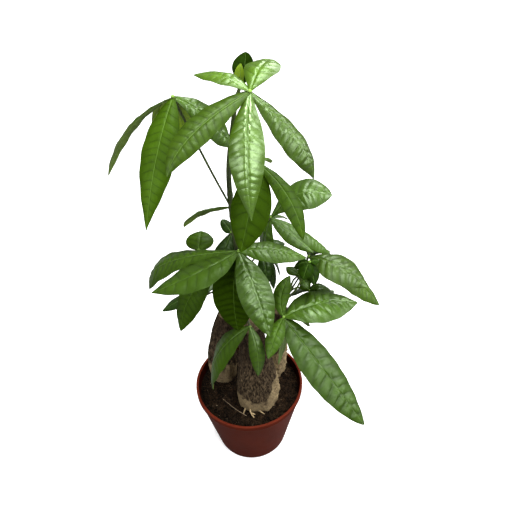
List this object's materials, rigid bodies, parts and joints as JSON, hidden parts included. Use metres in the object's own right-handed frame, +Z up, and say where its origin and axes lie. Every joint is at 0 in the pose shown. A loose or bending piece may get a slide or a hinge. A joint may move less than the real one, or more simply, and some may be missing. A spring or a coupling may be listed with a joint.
{
  "type": "potted money tree",
  "caption": "Young money tree: swollen bare trunks in a tapered plastic nursery pot, with upright shoots and hand-shaped glossy leaves.",
  "frame": {"origin": "centre of the pot's flat underside, on the surface that the pot stands on", "axes": "+Z up; +X to the right of the plant as pictured; -Y towards the front"},
  "size_m": [0.2281, 0.1863, 0.4806],
  "materials": {
    "pot": "satin",
    "soil": "matte",
    "bark": "matte",
    "shoot": "satin",
    "leaf_dark": "gloss",
    "leaf_mid": "gloss",
    "leaf_fresh": "gloss",
    "leaf_pale": "gloss"
  },
  "bodies": {
    "root": {"pot": "pot", "soil": "soil", "trunk_front": "bark", "trunk_left": "bark", "trunk_right": "bark", "shoot_tall": "shoot", "shoot_left": "shoot", "shoot_right": "shoot", "leaf_crown_front": "leaf_fresh", "leaf_crown_bud": "leaf_dark", "leaf_crown_left": "leaf_mid", "leaf_crown_right": "leaf_mid", "leaf_arching": "leaf_mid", "leaf_small_stem": "leaf_dark", "leaf_middle_left": "leaf_mid", "leaf_middle_right": "leaf_pale", "leaf_middle_back": "leaf_dark", "leaf_low_front": "leaf_mid", "leaf_small_round": "leaf_mid", "leaf_low_left": "leaf_mid", "leaf_low_back": "leaf_dark", "leaf_outer_right": "leaf_fresh", "leaf_young_top": "leaf_dark", "leaf_young_low": "leaf_pale", "leaf_young_side": "leaf_pale", "leaf_low_right": "leaf_pale"}
  },
  "joints": []
}
